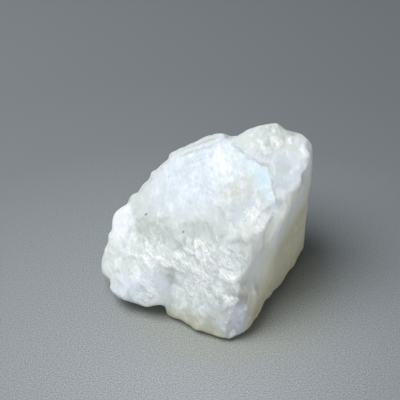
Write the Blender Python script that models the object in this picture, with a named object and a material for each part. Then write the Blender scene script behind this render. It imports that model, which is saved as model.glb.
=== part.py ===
"""Rough piece of adularia moonstone, about 35 mm long.

One solid: a broken feldspar crystal with a steep right wall, a sloping top, a low lobe at the left and
a lump on its back crest.  It lies on a flat cleavage face.  X runs along the stone, Y from front to
back and Z up.  The corners below are measured from a point inside the stone, and the finished solid is
then moved so that the middle of its bounding box stands over the origin.
"""

import math
import random

import bmesh
import bpy
from mathutils import Vector, noise

MM = 0.001

# --- Driving dimensions, in millimetres -----------------------------------------------------------
SUMMIT_HEIGHT = 24.0
FACET_SIZE = 0.88      # side of the small facets that carry the relief
REST_EDGE = 0.25       # points lower than this belong to the resting face
STEP_WIDTH = 3.1       # cleavage steps that cross the front face
STEP_HEIGHT = 0.30
LAMELLA_WIDTH = 2.3    # thin crystal layers that end on the right wall
LAMELLA_HEIGHT = 0.16
SWELL_SIZE = 6.5       # gentle unevenness of every broken face
SWELL_HEIGHT = 0.26
GRAIN_SIZE = 2.2       # coarse grain of the fracture
GRAIN_HEIGHT = 0.12
GROWTH = 0.28          # stone added all over, which the chips then take from the edges
CHIP_COUNT = 120       # small flakes lost from the edges
CHIP_REACH = (1.0, 2.6)
CHIP_DEPTH = (0.04, 0.26)
CHIP_TILT = 0.30       # how far a flake's scar may lean from the surface, as a tangent
RIDGE_ANGLE = math.radians(24)   # edges bent more than this are ridges, where flakes come off
SEED = 23

# --- Scoops left by shelly fracture: middle, radius and depth, in millimetres --------------------
SCOOPS = (
    ((0.0, -3.1, 12.4), 6.2, 0.75),     # shallow hollow under the brow
    ((6.0, 3.5, 17.6), 3.6, 0.45),      # dip beside the rib on the top
    ((-11.5, 4.5, 9.8), 3.2, 0.35),     # dip in the left of the top
    ((-4.6, -6.6, 5.4), 2.6, 0.55),     # gully between the lobe and the foot
    ((12.0, -3.0, 9.5), 5.0, 0.50),     # dip in the right wall
)

# --- Directions of the crystal's structure ----------------------------------------------------------
FRONT_NORMAL = Vector((-0.57, -0.63, 0.52)).normalized()
STEP_RUN = Vector((0.69, -0.59, -0.43)).normalized()     # the steps run down to the right
WALL_NORMAL = Vector((0.88, -0.46, -0.07)).normalized()
LAMELLA_RUN = Vector((0.21, 0.40, 0.89)).normalized()    # the layers climb the right wall

# --- Corners of the broken blocks, (x, y, z) in millimetres ----------------------------------------
# The main block: steep right wall, sloping top and broken back.
CORE = {
    "summit": (17.6, 8.1, SUMMIT_HEIGHT),
    "summit_back": (16.2, 10.2, 23.8),
    "saddle": (13.4, 12.0, 22.0),
    "right_shoulder": (16.8, 4.9, 21.0),
    "ridge_high": (15.6, 1.8, 19.9),
    "ridge_bend": (13.3, -1.2, 19.0),
    "ridge_low": (11.4, -2.8, 18.0),
    "ridge_rough": (8.3, -5.9, 16.3),
    "brow": (6.2, -7.4, 15.0),
    "front_edge_high": (6.0, -9.0, 12.6),
    "front_edge_mid": (5.0, -10.3, 10.0),
    "front_edge_low": (4.0, -12.0, 6.0),
    "toe": (4.2, -15.1, 0.8),
    "toe_right": (5.9, -14.2, 0.9),
    "toe_left": (2.0, -14.1, 0.8),
    "foot_left": (-5.5, -9.9, 0.4),
    "foot_left_high": (-5.6, -7.4, 4.4),
    "foot_front": (-1.3, -13.1, 0.5),
    "crease_middle": (-2.6, -2.6, 11.6),
    "crease_left": (-9.1, 0.5, 9.2),
    "crease_end": (-14.2, 3.0, 7.5),
    "rim_low": (-15.9, 6.0, 8.3),
    "rim_bend": (-12.6, 7.7, 9.2),
    "rim_middle": (-8.6, 9.1, 10.7),
    "rim_high": (-6.8, 12.0, 12.5),
    "rim_corner": (-5.8, 17.2, 14.3),
    "crest_left": (-1.3, 17.6, 16.1),
    "crest_middle": (1.8, 17.6, 17.6),
    "crest_right": (4.5, 16.4, 18.5),
    "crest_bevel_left": (-4.2, 14.0, 15.3),
    "crest_bevel_right": (0.9, 13.7, 17.4),
    "rib_high": (8.1, 9.8, 20.0),
    "rib_low": (10.2, 5.5, 20.4),
    "back_shoulder": (15.4, 12.2, 19.0),
    "back_right": (17.0, 10.4, 9.5),
    "heel": (17.0, 6.6, 0.9),
    "heel_front": (15.1, 1.9, 0.8),
    "heel_back": (13.6, 12.2, 1.2),
    "wall_foot": (9.8, -6.0, 0.5),
    "back_middle": (7.4, 17.0, 9.0),
    "back_foot": (5.0, 15.6, 0.9),
    "back_left": (-8.4, 14.9, 6.5),
    "back_left_foot": (-8.2, 12.8, 0.9),
    "left_foot": (-12.6, 6.5, 1.2),
}
# The flat cleavage face that the stone lies on.
REST = {
    "rest_toe": (4.0, -12.2, 0.0),
    "rest_front": (-4.2, -7.6, 0.0),
    "rest_left": (-9.4, 4.6, 0.0),
    "rest_back_left": (-6.6, 10.8, 0.0),
    "rest_back": (5.2, 13.6, 0.0),
    "rest_heel": (14.0, 8.0, 0.0),
    "rest_right": (12.4, 0.6, 0.0),
}
# The rounded lobe at the lower left, whose underside clears the ground.
LOBE = {
    "lobe_crest": (-9.4, 0.3, 9.1),
    "lobe_crest_right": (-4.8, -2.4, 9.9),
    "lobe_crest_left": (-14.6, 3.2, 7.5),
    "lobe_rim": (-15.6, 5.2, 7.9),
    "lobe_rim_low": (-16.3, 2.9, 6.7),
    "lobe_side": (-16.6, 0.6, 5.7),
    "lobe_left": (-16.8, -3.6, 3.3),
    "lobe_left_low": (-16.5, -5.0, 2.7),
    "lobe_front_left": (-15.8, -6.9, 2.2),
    "lobe_front": (-13.4, -8.5, 2.0),
    "lobe_front_middle": (-10.9, -9.3, 1.9),
    "lobe_front_right": (-6.5, -10.1, 1.8),
    "lobe_swell": (-11.2, -7.2, 4.7),
    "lobe_swell_right": (-6.9, -8.4, 4.2),
    "lobe_under": (-5.0, -3.0, 1.2),
    "lobe_under_back": (-10.5, 4.0, 1.2),
}
# The small blunt spur at the far left.
SPUR = {
    "spur_tip": (-18.2, -1.0, 3.5),
    "spur_top": (-17.6, 0.1, 5.3),
    "spur_low": (-18.1, -2.4, 2.5),
    "spur_front": (-17.2, -4.0, 3.1),
    "spur_root_top": (-15.4, 2.4, 6.4),
    "spur_root_low": (-14.0, 2.0, 2.4),
    "spur_root_front": (-14.6, -1.6, 5.0),
    "spur_back": (-16.6, 2.6, 4.4),
}
# The lump that crowns the back crest.
LUMP = {
    "lump_top": (10.7, 14.6, 22.8),
    "lump_right": (13.3, 13.5, 22.8),
    "lump_left": (8.3, 15.3, 20.9),
    "lump_end": (4.8, 15.6, 18.9),
    "lump_front": (9.0, 9.6, 20.2),
    "lump_front_right": (13.4, 10.2, 21.4),
    "lump_back": (10.4, 15.6, 18.8),
    "lump_root": (9.0, 12.0, 15.0),
    "lump_root_right": (13.8, 9.0, 18.0),
}


def block(name, *corner_sets):
    """A convex block of stone with these corners."""
    shape = bmesh.new()
    for corners in corner_sets:
        for corner in corners.values():
            shape.verts.new(Vector(corner) * MM)
    bmesh.ops.convex_hull(shape, input=shape.verts)
    inside = [vert for vert in shape.verts if not vert.link_faces]
    bmesh.ops.delete(shape, geom=inside, context="VERTS")
    mesh = bpy.data.meshes.new(name)
    shape.to_mesh(mesh)
    shape.free()
    made = bpy.data.objects.new(name, mesh)
    bpy.context.scene.collection.objects.link(made)
    return made


def grown_together(stone, blocks):
    """The stone's mesh with the other blocks fused to it, in small facets of one size."""
    for piece in blocks:
        union = stone.modifiers.new(piece.name, "BOOLEAN")
        union.operation = "UNION"
        union.object = piece
    facets = stone.modifiers.new("facets", "REMESH")
    facets.mode = "VOXEL"
    facets.voxel_size = FACET_SIZE * MM
    bpy.context.view_layer.update()
    evaluated = stone.evaluated_get(bpy.context.evaluated_depsgraph_get())
    mesh = bpy.data.meshes.new_from_object(evaluated)
    stone.modifiers.clear()
    for piece in blocks:
        bpy.data.objects.remove(piece)
    return mesh


def saw(value):
    """Rises slowly from 0 to 1 and drops back sharply: the profile of a flight of cleavage steps."""
    return value - math.floor(value)


def facing(normal, direction):
    """1 where a surface faces the direction, and 0 from about 50 degrees away."""
    return max(0.0, (normal.dot(direction) - 0.62) / 0.38)


def scoop(place):
    """Depth of the shelly hollows at a point, in millimetres."""
    depth = 0.0
    for middle, radius, deepest in SCOOPS:
        share = min(1.0, (place - Vector(middle)).length / radius)
        depth += deepest * (1.0 - share * share) ** 2
    return depth


def relief(place, normal):
    """Height of the uneven surface over the plain block at a point, in millimetres."""
    swell = noise.noise(place / SWELL_SIZE) * SWELL_HEIGHT
    grain = (noise.ridged_multi_fractal(place / GRAIN_SIZE, 0.9, 2.1, 3, 1.0, 2.0) - 1.0) * GRAIN_HEIGHT
    wander = noise.noise(place / (2.0 * STEP_WIDTH)) * 1.4
    across = place.dot(FRONT_NORMAL.cross(STEP_RUN)) / STEP_WIDTH
    steps = (saw(across + wander) - 0.5) * STEP_HEIGHT * facing(normal, FRONT_NORMAL)
    sideways = place.dot(WALL_NORMAL.cross(LAMELLA_RUN)) / LAMELLA_WIDTH
    layers = (saw(sideways + 0.4 * wander) - 0.5) * LAMELLA_HEIGHT * facing(normal, WALL_NORMAL)
    return GROWTH + swell + grain + steps + layers - scoop(place)


def knock_off(points, normals, ridge, chance):
    """Flakes one chip off a ridge: what stands above a tilted plane near it is cut back to the plane."""
    start = chance.choice(ridge)
    lean = Vector([chance.uniform(-CHIP_TILT, CHIP_TILT) for _ in range(3)])
    normal = (normals[start] + lean).normalized()
    reach = chance.uniform(*CHIP_REACH)
    level = points[start].dot(normal) - chance.uniform(*CHIP_DEPTH)
    for index, point in enumerate(points):
        above = point.dot(normal) - level
        if above > 0 and (point - points[start]).length < reach:
            points[index] = point - normal * above


def centre(shape):
    """Moves the stone so that the middle of its bounding box stands over the origin."""
    for axis in (0, 1):
        places = [vert.co[axis] for vert in shape.verts]
        middle = (min(places) + max(places)) / 2
        for vert in shape.verts:
            vert.co[axis] -= middle


def weather(shape):
    """Gives the blocks their uneven fracture, steps and chips, and keeps the resting face flat."""
    shape.normal_update()
    resting = {vert.index for vert in shape.verts if vert.co.z < REST_EDGE * MM}
    normals = [vert.normal.copy() for vert in shape.verts]
    points = [vert.co / MM for vert in shape.verts]
    points = [point + normal * relief(point, normal) for point, normal in zip(points, normals)]
    bent = [edge for edge in shape.edges if edge.calc_face_angle() > RIDGE_ANGLE and edge.is_convex]
    ridge = sorted({vert.index for edge in bent for vert in edge.verts} - resting)
    chance = random.Random(SEED)
    for _ in range(CHIP_COUNT):
        knock_off(points, normals, ridge, chance)
    for vert in shape.verts:
        vert.co = points[vert.index] * MM
        if vert.index in resting:
            vert.co.z = 0.0
        else:
            vert.co.z = max(vert.co.z, REST_EDGE * MM)


def moonstone_material():
    """Milky white feldspar."""
    made = bpy.data.materials.new("moonstone")
    made.use_nodes = True
    shader = made.node_tree.nodes["Principled BSDF"]
    shader.inputs["Base Color"].default_value = (0.78, 0.81, 0.79, 1.0)
    shader.inputs["Roughness"].default_value = 0.35
    shader.inputs["Metallic"].default_value = 0.0
    shader.inputs["IOR"].default_value = 1.52
    return made


def main():
    for old in list(bpy.data.objects):
        bpy.data.objects.remove(old)
    stone = block("moonstone", CORE, REST)
    blocks = [block("lobe", LOBE), block("spur", SPUR), block("lump", LUMP)]
    stone.data = grown_together(stone, blocks)
    shape = bmesh.new()
    shape.from_mesh(stone.data)
    weather(shape)
    centre(shape)
    bmesh.ops.triangulate(shape, faces=shape.faces)
    shape.to_mesh(stone.data)
    shape.free()
    stone.data.materials.clear()
    stone.data.materials.append(moonstone_material())


main()
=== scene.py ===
"""A rough piece of adularia moonstone on plain grey card, in soft light.

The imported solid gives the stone's size and main shape.  This script grows a finer stone from it, with the
cleavage, the silky striations and the chippy fracture that feldspar breaks with, and gives it its milky
body.  X runs along the stone, Y from front to back and Z up.  The stone's tables are in millimetres.
"""

import math

import bmesh
import bpy
import numpy as np
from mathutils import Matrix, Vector
from mathutils.bvhtree import BVHTree


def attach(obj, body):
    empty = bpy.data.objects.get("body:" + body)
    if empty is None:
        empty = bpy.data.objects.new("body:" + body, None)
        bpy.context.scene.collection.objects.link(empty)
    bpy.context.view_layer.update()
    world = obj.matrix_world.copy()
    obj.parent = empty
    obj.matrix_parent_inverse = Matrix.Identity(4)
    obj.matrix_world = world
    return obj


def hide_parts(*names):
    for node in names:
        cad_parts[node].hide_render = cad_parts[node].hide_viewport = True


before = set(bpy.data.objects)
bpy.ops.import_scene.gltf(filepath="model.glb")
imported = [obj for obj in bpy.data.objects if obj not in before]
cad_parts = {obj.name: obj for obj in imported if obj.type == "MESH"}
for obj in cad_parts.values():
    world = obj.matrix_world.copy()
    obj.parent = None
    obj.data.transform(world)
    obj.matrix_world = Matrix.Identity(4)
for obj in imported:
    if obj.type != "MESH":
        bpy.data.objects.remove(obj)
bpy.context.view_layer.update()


# ==================================================================================================
# THE CRYSTAL
# The stone itself: milky potassium feldspar, broken out of its vein and never cut or polished.  It parts
# along flat cleavage faces and, across them, in small stepped flakes.  One piece, all of one material.
# ==================================================================================================
MM = 0.001
SKIN_SIDE = 0.205 * MM       # side of the mesh's squares
ROUNDING_STEPS = 26          # smoothing passes that take off the solid's coarse facets


def plain_mesh(piece):
    """The piece's mesh as its modifiers leave it; the modifiers are then gone."""
    bpy.context.view_layer.update()
    evaluated = piece.evaluated_get(bpy.context.evaluated_depsgraph_get())
    mesh = bpy.data.meshes.new_from_object(evaluated)
    piece.modifiers.clear()
    piece.data = mesh


def skin_of(solid):
    """A closed copy of the solid in fine, even squares."""
    merged = bmesh.new()
    merged.from_mesh(solid.data)
    bmesh.ops.remove_doubles(merged, verts=merged.verts, dist=0.01 * MM)
    mesh = bpy.data.meshes.new("moonstone_crystal")
    merged.to_mesh(mesh)
    merged.free()
    piece = bpy.data.objects.new("moonstone_crystal", mesh)
    bpy.context.scene.collection.objects.link(piece)
    squares = piece.modifiers.new("squares", "REMESH")
    squares.mode = "VOXEL"
    squares.voxel_size = SKIN_SIDE
    even = piece.modifiers.new("even", "SMOOTH")
    even.factor = 0.5
    even.iterations = ROUNDING_STEPS
    plain_mesh(piece)
    return piece


CLEAVAGE_RIM = 0.25          # share of a face's radius over which its pull fades
CLEAVAGE_DEPTH = 1.6         # how far off a face's plane the skin is still pulled to it
CLEAVAGE_FADE = 0.4
# Flat cleavage faces: middle, outward direction, radius and how much of the way the skin goes to the flat.
CLEAVAGE_FACES = {
    "right_facet": ((12.9, 2.0, 21.1), (-0.20, -0.40, 0.89), 4.2, 0.92),
    "sheen_strip": ((9.0, 1.8, 19.6), (-0.42, -0.20, 0.89), 2.6, 0.80),
    "white_slope": ((4.0, 5.0, 17.6), (-0.46, -0.16, 0.87), 4.6, 0.55),
    "upper_slope": ((-3.4, 8.0, 15.2), (-0.38, -0.14, 0.91), 6.0, 0.55),
    "crest_bevel": ((-1.4, 14.6, 16.6), (-0.44, 0.16, 0.88), 3.4, 0.70),
    "left_rim": ((-14.4, 3.2, 8.8), (-0.66, -0.22, 0.72), 3.2, 0.60),
    "ridge_face": ((8.6, -9.4, 10.0), (0.52, -0.84, 0.12), 5.0, 0.75),
    "ridge_bevel": ((10.4, -6.8, 15.2), (0.66, -0.69, 0.28), 3.4, 0.80),
    "ridge_front": ((4.4, -9.8, 12.0), (-0.38, -0.70, 0.60), 3.6, 0.80),
    "right_wall": ((13.6, -3.0, 11.5), (0.86, -0.50, -0.05), 7.5, 0.85),
    "front_slope": ((-1.0, -9.0, 8.2), (-0.46, -0.66, 0.60), 4.6, 0.55),
    "tip_facet": ((4.6, -14.2, 5.4), (0.22, -0.88, 0.42), 2.0, 0.55),
    "lobe_front": ((-10.6, -9.3, 3.9), (-0.30, -0.84, 0.45), 2.6, 0.50),
}


def flatten_to_cleavage(points):
    """Pulls the skin near each cleavage face to its plane, less and less towards the face's edge."""
    for middle, direction, radius, share in CLEAVAGE_FACES.values():
        direction = np.array(Vector(direction).normalized())
        offset = points - np.array(middle)
        above = offset @ direction
        apart = np.linalg.norm(offset - np.outer(above, direction), axis=1)
        near = np.clip((radius - apart) / (CLEAVAGE_RIM * radius), 0.0, 1.0)
        near *= np.clip((CLEAVAGE_DEPTH - np.abs(above)) / CLEAVAGE_FADE, 0.0, 1.0)
        points -= np.outer(above * near * share, direction)


LEDGE_TAPER = 0.2            # share of a ledge's length over which each end runs out
LEDGE_DEPTH = 3.0            # how far off its line a ledge still shows, and over how much it fades
LEDGE_FADE = 1.5
LEDGE_FACING = 0.3           # skin turned further from the ledge's direction than this takes no ledge
# Ledges: a drop along a line, with the high side falling back to the face over a distance.
# Start, end, outward direction of the face, height, reach and half width of the drop.
# The high side is to the left of the run.
LEDGES = {
    "crag_foot": ((3.7, 11.8, 19.1), (9.0, 4.0, 20.3), (-0.40, -0.16, 0.90), 0.32, 1.8, 0.16),
    "sheen_drop": ((11.5, -4.4, 18.2), (9.4, 5.8, 20.8), (-0.32, -0.26, 0.91), 0.20, 1.5, 0.14),
    "white_edge": ((9.4, -3.8, 18.3), (5.0, 8.0, 19.0), (-0.42, -0.20, 0.88), 0.14, 1.6, 0.5),
    "crest_line": ((-5.4, 14.2, 14.8), (1.6, 13.9, 17.9), (-0.40, 0.05, 0.91), 0.18, 1.2, 0.2),
    "rim_foot": ((-10.6, 4.6, 10.6), (-14.0, -3.0, 7.2), (-0.55, -0.25, 0.80), 0.30, 1.6, 0.5),
}


def raise_ledges(points, normals):
    """Adds each ledge to the skin."""
    for start, end, direction, height, reach, softness in LEDGES.values():
        start, end, direction = (np.array(Vector(part)) for part in (start, end, direction))
        direction = direction / np.linalg.norm(direction)
        run = end - start
        length = np.linalg.norm(run)
        run = run / length
        side = np.cross(direction, run)
        offset = points - start
        along = offset @ run / length
        across = offset @ side
        drop = np.clip(0.5 + 0.5 * across / softness, 0.0, 1.0)
        profile = drop * drop * (3.0 - 2.0 * drop) * np.exp(-np.maximum(across, 0.0) / reach)
        within = np.clip(along / LEDGE_TAPER, 0.0, 1.0) * np.clip((1.0 - along) / LEDGE_TAPER, 0.0, 1.0)
        within *= np.clip((LEDGE_DEPTH - np.abs(offset @ direction)) / LEDGE_FADE, 0.0, 1.0)
        facing = np.clip((normals @ direction - LEDGE_FACING) / LEDGE_FACING, 0.0, 1.0)
        points += normals * (height * profile * within * facing)[:, None]


# Outward direction of the right wall.
WALL_NORMAL = Vector((0.86, -0.50, -0.05)).normalized()
# Where the camera stands: its height above the floor, and its distance from what it looks at.
CAMERA_HEIGHT = math.radians(40)
CAMERA_DISTANCE = 178.0
LOOK_AT = Vector((-0.97, -1.61, 17.4))
LENS = 100.0
SENSOR = 36.0
PICTURE_SIDE = 400.0         # the camera's picture, in pixels
# Lines over the stone, each from its back to its front, and the outward direction along it: the two edges
# of the wedge of blue sheen, and the ridge that parts the lit front from the right wall.  Their points are
# pixels of the camera's picture, across and down; on_stone finds the place on the solid that shows there.
LINES = {
    "sheen_left": (
        (-0.40, -0.20, 0.89),
        ((230, 145), (233, 150), (238, 158), (246, 172), (252, 180), (256, 188), (259, 195), (266, 203)),
    ),
    "sheen_right": (
        (-0.36, -0.22, 0.90),
        (
            (229, 143), (240, 151.7), (245, 157), (257, 163), (265, 167),
            (269, 174), (271, 185), (274, 195), (277.5, 204),
        ),
    ),
    "ridge": (
        (0.20, -0.85, 0.48),
        (
            (309, 162), (302, 178), (290, 195), (283, 203), (275, 213), (265, 224), (247, 240),
            (246, 252), (245, 270), (240, 287), (235, 300), (230, 312), (228, 325), (228, 335),
        ),
    ),
}
RIDGE_HEIGHT = 0.22          # how far the ridge stands out
RIDGE_WIDTH = 0.5
ROUGH_SPREAD = 2.0           # how much of a rough area is rough all through
# Where the stone broke roughly: middle, radius and how rough.
ROUGH_AREAS = {
    "crags": ((10.4, 7.6, 21.6), 4.0, 0.50),
    "crest": ((8.6, -5.2, 17.0), 4.4, 0.45),
    "front": ((-0.5, -8.6, 8.6), 8.8, 0.65),
    "front_left": ((-9.5, -4.5, 6.5), 6.5, 0.6),
    "ridge_side": ((4.0, -10.0, 11.0), 3.6, 1.0),
    "ridge_foot": ((3.2, -12.0, 7.0), 3.8, 0.9),
    "lobe_lip": ((-9.8, -9.6, 4.2), 2.8, 0.9),
    "tip": ((4.6, -14.9, 4.0), 2.4, 1.0),
}
# Ribs, and grooves where the height is below zero: the line they follow, their height and half width.
RIBS = {
    "diagonal_high": (((-4.4, -3.2, 11.5), (-1.1, -6.7, 10.8), (2.2, -10.6, 9.6)), 0.34, 0.85),
    "diagonal_long": (
        ((-12.6, -0.7, 8.2), (-8.3, -4.8, 8.3), (-5.5, -6.6, 7.8), (-2.6, -9.4, 6.9)), 0.28, 0.80,
    ),
    "diagonal_low": (((-13.6, -2.2, 6.9), (-10.3, -4.9, 7.3), (-7.0, -8.0, 6.6)), 0.26, 0.75),
    "diagonal_middle": (((-6.6, -4.0, 9.8), (-3.4, -7.0, 9.0), (0.2, -10.6, 8.4)), 0.22, 0.70),
    "soft_groove": (((-9.0, -5.9, 7.2), (-5.8, -8.3, 5.7), (-2.0, -11.4, 5.0)), -0.12, 0.65),
    "white_fold": (((2.0, 12.4, 18.4), (2.7, 7.9, 18.1), (2.5, 3.6, 17.2)), 0.32, 1.30),
    "bevel_line": (
        ((-6.3, 12.9, 14.5), (-2.7, 12.6, 16.2), (-0.6, 12.1, 17.0), (2.4, 12.3, 18.3)), -0.36, 0.40,
    ),
    "bevel_line_high": (((-5.4, 14.4, 14.8), (-1.0, 14.2, 16.9), (2.8, 14.3, 18.5)), -0.32, 0.40),
    "rim_lumps": (((15.9, 6.4, 22.9), (15.5, 3.2, 22.1), (14.4, 0.2, 20.4)), 0.42, 0.80),
    "facet_hollow": (((12.8, 4.6, 21.8), (12.5, 1.4, 20.8), (11.9, -2.4, 19.4)), -0.14, 1.60),
    "crag_left": (((8.4, 10.6, 20.8), (9.0, 8.4, 21.0), (9.6, 5.8, 21.0)), 0.20, 0.45),
    "crag_gap": (((10.0, 10.2, 21.6), (10.4, 8.0, 21.6), (10.6, 5.6, 21.3)), -0.24, 0.40),
    "crag_middle": (((11.0, 10.0, 22.0), (11.4, 8.0, 22.0), (11.4, 6.0, 21.7)), 0.20, 0.45),
    "crag_right": (((12.4, 9.4, 22.5), (12.7, 7.6, 22.4), (12.8, 5.4, 22.0)), -0.24, 0.40),
    "crag_end": (((13.6, 9.2, 22.8), (13.8, 7.4, 22.7), (13.7, 5.2, 22.2)), 0.20, 0.40),
    "hollow_arc": (((-4.6, -1.4, 12.5), (-0.2, -4.4, 13.1), (3.4, -7.6, 13.6)), -0.35, 1.50),
}
# Bites out of the edges: middle, radius, push, and the X that the bite ends sharply at.
BITES = {
    "lobe_notch": ((-7.4, -10.8, 1.0), 2.4, (0.0, 1.2, 1.1), -6.3),
    "spur_notch": ((-16.6, -6.0, 3.0), 1.3, (0.7, 0.5, 0.0), -14.0),
    "peak_notch": ((14.6, 8.8, 23.0), 1.6, (0.0, -0.2, -0.5), 17.0),
}
BITE_EDGE = 0.4
# The wall's foot is broken back, so that the stone leans over the ground there.
WALL_PLACE = 12.6            # how far out the wall stands along its normal
UNDERCUT_HEIGHT = 1.3
UNDERCUT_EDGE = 0.8          # height over which the hollow runs out at its top
UNDERCUT_DEPTH = 2.2
UNDERCUT_REACH = 7.0         # how far inwards from the wall the skin is still moved
UNDERCUT_START = -8.0        # place along the wall where the hollow starts, and over how much it fades in
UNDERCUT_FADE = 6.0
RESTING_HEIGHT = 0.2         # skin lower than this lies on the ground and stays there


def on_stone(solid, pixels):
    """The points of the solid that show at these pixels, in millimetres."""
    corners = [vert.co / MM for vert in solid.data.vertices]
    surface = BVHTree.FromPolygons(corners, [face.vertices for face in solid.data.polygons])
    ahead = Vector((0.0, math.cos(CAMERA_HEIGHT), -math.sin(CAMERA_HEIGHT)))
    right = Vector((1.0, 0.0, 0.0))
    eye = LOOK_AT - CAMERA_DISTANCE * ahead
    pixel = SENSOR / LENS / PICTURE_SIDE
    found = []
    for across, down in pixels:
        ray = ahead + pixel * (across - PICTURE_SIDE / 2) * right
        ray += pixel * (PICTURE_SIDE / 2 - down) * right.cross(ahead)
        found.append(tuple(surface.ray_cast(eye, ray.normalized())[0]))
    return found


UP = (0.0, 0.0, 1.0)


def beside(points, path, outward=UP):
    """How far points lie from a path, below zero to its left, and how near its middle, 0 to 1."""
    distances = np.full(len(points), np.inf)
    along = np.zeros(len(points))
    for step, (start, end) in enumerate(zip(path, path[1:])):
        start, run = np.array(start), np.array(end) - np.array(start)
        offset = points - start
        share = np.clip(offset @ run / (run @ run), 0.0, 1.0)
        offset -= np.outer(share, run)
        distance = np.linalg.norm(offset, axis=1)
        distance = np.where(offset @ np.cross(outward, run) < 0.0, -distance, distance)
        closer = np.abs(distance) < np.abs(distances)
        distances = np.where(closer, distance, distances)
        along = np.where(closer, (step + share) / (len(path) - 1), along)
    return distances, np.sin(math.pi * along)


WANDER_SEED = 5
# Waves that bend the lines on the stone: length and how far, in millimetres.
WANDERS = ((6.0, 0.40), (2.6, 0.30), (1.3, 0.22), (0.8, 0.14))


def wandered(points):
    """The points shifted this way and that, so that lines drawn by them aren't straight."""
    dice = np.random.default_rng(WANDER_SEED)
    moved = points.copy()
    for length, amount in WANDERS:
        for axis in range(3):
            direction = dice.normal(size=3)
            direction *= math.tau / length / np.linalg.norm(direction)
            moved[:, axis] += amount * np.sin(points @ direction + dice.uniform(0.0, math.tau))
    return moved


def near_to(points, middle, radius):
    """One at a middle, falling smoothly to zero at a radius from it."""
    share = np.clip(1.0 - np.linalg.norm(points - np.array(middle), axis=1) / radius, 0.0, 1.0)
    return share * share * (3.0 - 2.0 * share)


def mark(mesh, name, values):
    """Keeps a number for each point, for the relief and the material to read."""
    mesh.attributes.new(name, "FLOAT", "POINT").data.foreach_set("value", values.astype(np.float32))


def carve(piece, solid):
    """Works the cleavage faces, the ledges and the lines seen on the solid into the skin."""
    mesh = piece.data
    count = len(mesh.vertices)
    points = np.empty(3 * count, dtype=np.float32)
    normals = np.empty(3 * count, dtype=np.float32)
    mesh.vertices.foreach_get("co", points)
    mesh.vertices.foreach_get("normal", normals)
    points = points.reshape(-1, 3).astype(np.float64) / MM
    normals = normals.reshape(-1, 3).astype(np.float64)
    resting = points[:, 2] < RESTING_HEIGHT
    flatten_to_cleavage(points)
    raise_ledges(points, normals)
    for middle, radius, push, end in BITES.values():
        share = near_to(points, middle, radius) * np.clip((end - points[:, 0]) / BITE_EDGE, 0.0, 1.0)
        points += np.outer(share, push)
    bent = wandered(points)
    lines = {}
    for name, (outward, pixels) in LINES.items():
        lines[name] = beside(0.5 * (points + bent), on_stone(solid, pixels), outward)[0]
    points += normals * (RIDGE_HEIGHT * np.exp(-np.abs(lines["ridge"]) / RIDGE_WIDTH))[:, None]
    ribs = np.zeros(count)
    for path, height, width in RIBS.values():
        distances, along = beside(points + (bent - points) * min(width, 1.0), path)
        share = along * np.exp(-np.square(distances / width))
        points += normals * (height * share)[:, None]
        ribs += math.copysign(1.0, height) * share
    mark(mesh, "ribs", ribs)
    flat_normal = np.array(WALL_NORMAL.xy.normalized().to_3d())
    in_wall = np.clip(1.0 + (points @ flat_normal - WALL_PLACE) / UNDERCUT_REACH, 0.0, 1.0)
    along_wall = points @ np.cross(UP, flat_normal)
    in_wall *= np.clip((along_wall - UNDERCUT_START) / UNDERCUT_FADE, 0.0, 1.0)
    below = UNDERCUT_HEIGHT - 0.5 * (points + bent)[:, 2]
    hollow = UNDERCUT_DEPTH * np.clip(below / UNDERCUT_EDGE, 0.0, 1.0)
    points -= np.outer(hollow * in_wall, flat_normal)
    for name, distances in lines.items():
        mark(mesh, name, distances)
    rough = np.zeros(count)
    for middle, radius, roughness in ROUGH_AREAS.values():
        share = np.clip(ROUGH_SPREAD * near_to(points, middle, radius), 0.0, 1.0)
        rough = np.maximum(rough, roughness * share)
    mark(mesh, "rough", rough)
    points[resting, 2] = np.minimum(points[resting, 2], RESTING_HEIGHT)
    points[:, 2] = np.maximum(points[:, 2], 0.0)
    mesh.vertices.foreach_set("co", (points * MM).astype(np.float32).ravel())
    mesh.update()


def add_node(tree, kind, inputs=(), **settings):
    """Adds a node, sets its properties, and sets or links its inputs by name or number."""
    node = tree.nodes.new(kind)
    for name, value in settings.items():
        setattr(node, name, value)
    for key, value in dict(inputs).items():
        if isinstance(value, bpy.types.NodeSocket):
            tree.links.new(value, node.inputs[key])
        else:
            node.inputs[key].default_value = value
    return node


# Directions of the crystal: the front face and the way its flakes run, and the top and its silk.
FRONT_NORMAL = Vector((-0.50, -0.64, 0.58)).normalized()
FLAKE_RUN = Vector((0.69, -0.62, -0.38)).normalized()
TOP_NORMAL = Vector((-0.42, -0.16, 0.89)).normalized()
TOP_RUN = Vector((0.10, -0.96, -0.25)).normalized()

# Families of fine parallel lines where the crystal's layers end: middle and radius of the area, the face's
# outward direction, the way the lines run, their length and spacing, and their height.
STRIATIONS = {
    "Wall Layers": ((12.0, -4.5, 11.0), 16.0, (0.76, -0.64, 0.05), (0.22, 0.36, 0.91), 9.0, 0.70, 0.19),
    "Facet Lines": ((13.2, 2.0, 21.3), 5.5, (-0.20, -0.40, 0.89), (0.05, -0.93, -0.36), 5.0, 0.45, 0.15),
    "Crag Lines": ((11.2, 8.0, 21.9), 5.2, (-0.30, -0.28, 0.91), (0.10, -0.94, -0.33), 2.4, 0.60, 0.30),
    "Crest Lines": ((-1.5, 13.6, 16.5), 6.5, (-0.44, 0.10, 0.89), (0.87, 0.05, 0.48), 9.0, 0.60, 0.24),
    "Rim Lines": ((-14.5, 2.5, 8.5), 5.5, (-0.66, -0.22, 0.72), (0.42, 0.76, 0.49), 4.0, 0.50, 0.14),
    "Top Fibres": ((0.0, 6.0, 16.5), 11.0, (-0.42, -0.16, 0.89), (0.10, -0.96, -0.25), 3.5, 0.60, 0.11),
}

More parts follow.
